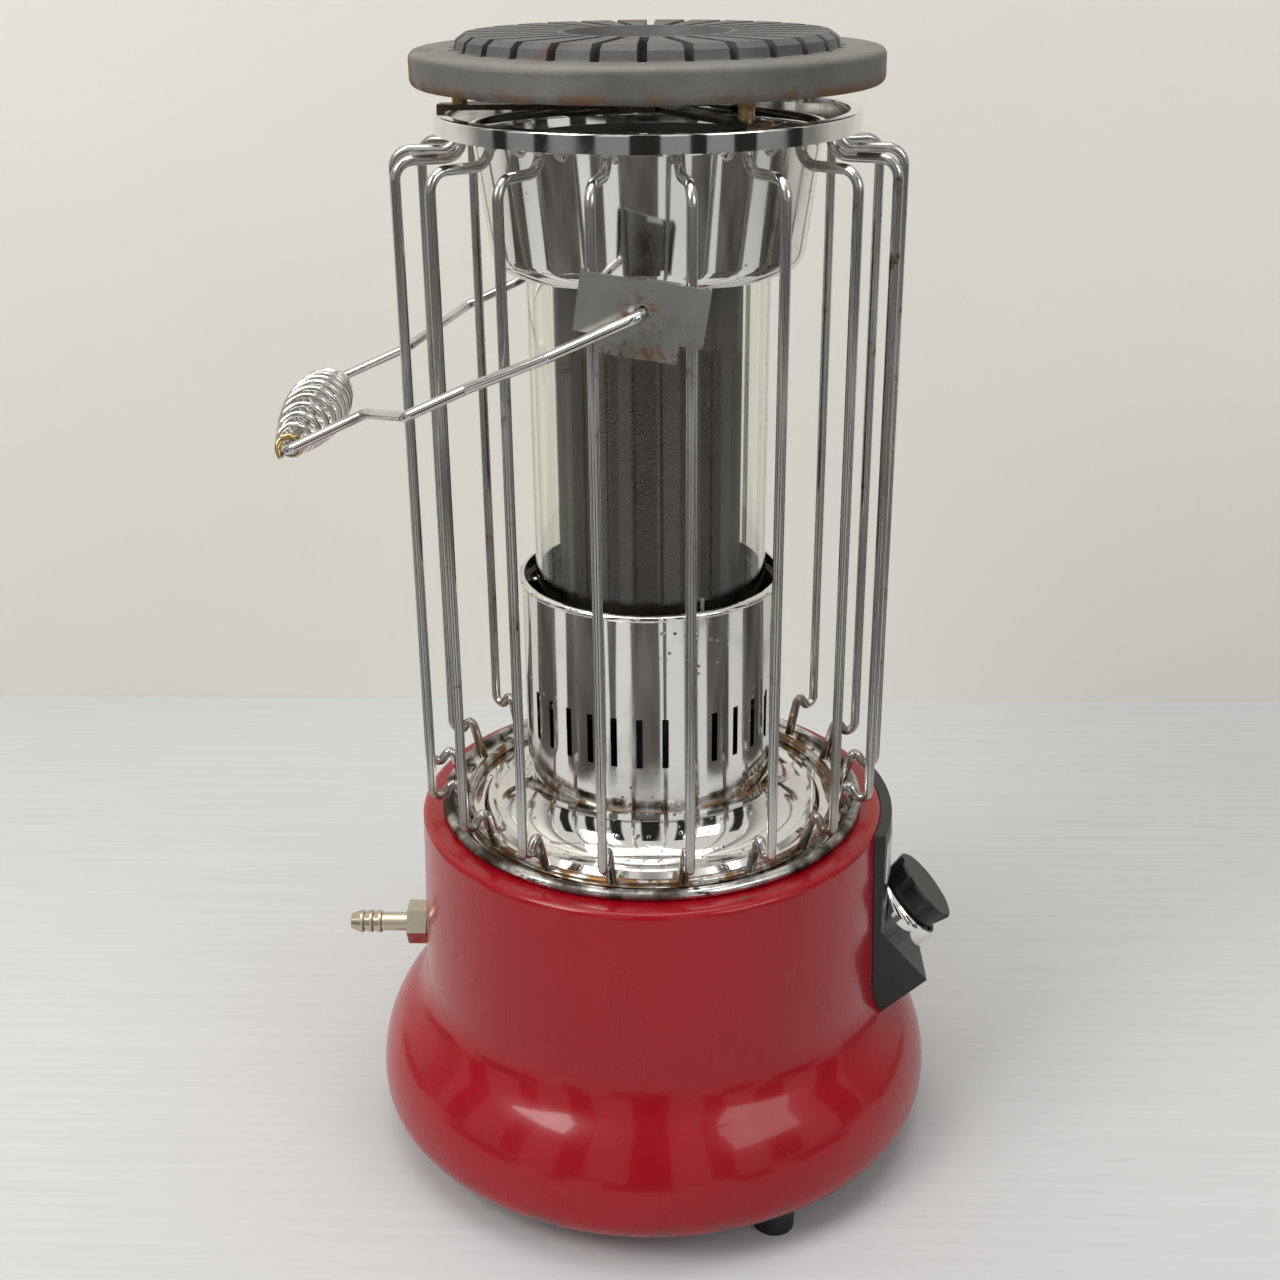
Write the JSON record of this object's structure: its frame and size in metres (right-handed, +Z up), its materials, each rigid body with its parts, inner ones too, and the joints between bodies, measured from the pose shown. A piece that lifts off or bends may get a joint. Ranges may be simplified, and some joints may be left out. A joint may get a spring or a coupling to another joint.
{
  "type": "portable propane heater",
  "caption": "Round propane heater: pressed base with knob and hose barb, mesh burner under glass, reflector cup, grate on top, wire guard and swinging bail with a coiled grip.",
  "frame": {"origin": "on the burner's axis in the plane of the feet", "axes": "+Z up along the burner's axis, -Y towards the control knob, +Y along the gas inlet, X along the bail's pivots"},
  "size_m": [0.2538, 0.2876, 0.484],
  "materials": {
    "red_paint": "gloss red enamel with chips",
    "chrome": "bright chrome plate, lightly soiled",
    "wire": "chromed steel wire",
    "zinc": "zinc plated sheet",
    "burner_steel": "heat-darkened stainless steel",
    "glass": "clear heat-resistant glass",
    "cast_iron": "weathered cast iron",
    "brass": "brass, dulled",
    "aluminium": "drawn aluminium",
    "black_plastic": "black moulded plastic",
    "ceramic": "white glazed ceramic",
    "lead_rubber": "silicone insulation",
    "rubber": "black rubber"
  },
  "bodies": {
    "heater": {"base_shell": "red_paint", "base_plate": "zinc", "foot_1": "rubber", "foot_2": "rubber", "foot_3": "rubber", "foot_screws": "zinc", "tray": "chrome", "guard_hoop": "wire", "burner_collar": "chrome", "collar_screws": "chrome", "burner_bowl": "burner_steel", "burner_mesh": "burner_steel", "burner_cap": "burner_steel", "glass_tube": "glass", "reflector_cup": "chrome", "rim_ring": "chrome", "glass_seat": "zinc", "top_spider": "cast_iron", "grate_posts": "brass", "top_grate": "cast_iron", "guard_bar_01": "wire", "guard_bar_02": "wire", "guard_bar_03": "wire", "guard_bar_04": "wire", "guard_bar_05": "wire", "guard_bar_06": "wire", "guard_bar_07": "wire", "guard_bar_08": "wire", "guard_bar_09": "wire", "guard_bar_10": "wire", "guard_bar_11": "wire", "guard_bar_12": "wire", "guard_bar_13": "wire", "guard_bar_14": "wire", "guard_bar_15": "wire", "guard_bar_16": "wire", "guard_bar_17": "wire", "guard_bar_18": "wire", "bail_bracket_far": "zinc", "bail_bracket_near": "zinc", "gas_inlet": "brass", "inlet_nut": "brass", "supply_pipe": "aluminium", "burner_pipe": "aluminium", "mixing_tube": "aluminium", "injector": "brass", "electrode": "ceramic", "gas_valve": "brass", "igniter": "black_plastic", "valve_bracket": "zinc", "bracket_screws": "zinc", "igniter_lead": "lead_rubber", "control_panel": "black_plastic", "face_plate": "aluminium", "knob_bezel": "chrome"},
    "rotor": {"valve_rotor": "brass"},
    "knob": {"knob": "black_plastic", "valve_spindle": "brass"},
    "bail": {"bail_wire": "wire", "grip_coil": "wire"}
  },
  "joints": [
    {"name": "knob_turn", "type": "hinge", "parent": "heater", "child": "rotor", "pos_m": [0, -0.1097, 0.1002], "axis": [0, -0.7524, 0.6587], "range_deg": [0, 90]},
    {"name": "knob_push", "type": "slide", "parent": "rotor", "child": "knob", "axis": [0, 0.7524, -0.6587], "range_m": [0, 0.0035], "stiffness_N_per_m": 800},
    {"name": "bail_swing", "type": "hinge", "parent": "heater", "child": "bail", "pos_m": [0, 0, 0.399], "axis": [1, 0, 0], "range_deg": [-15, 244]}
  ]
}
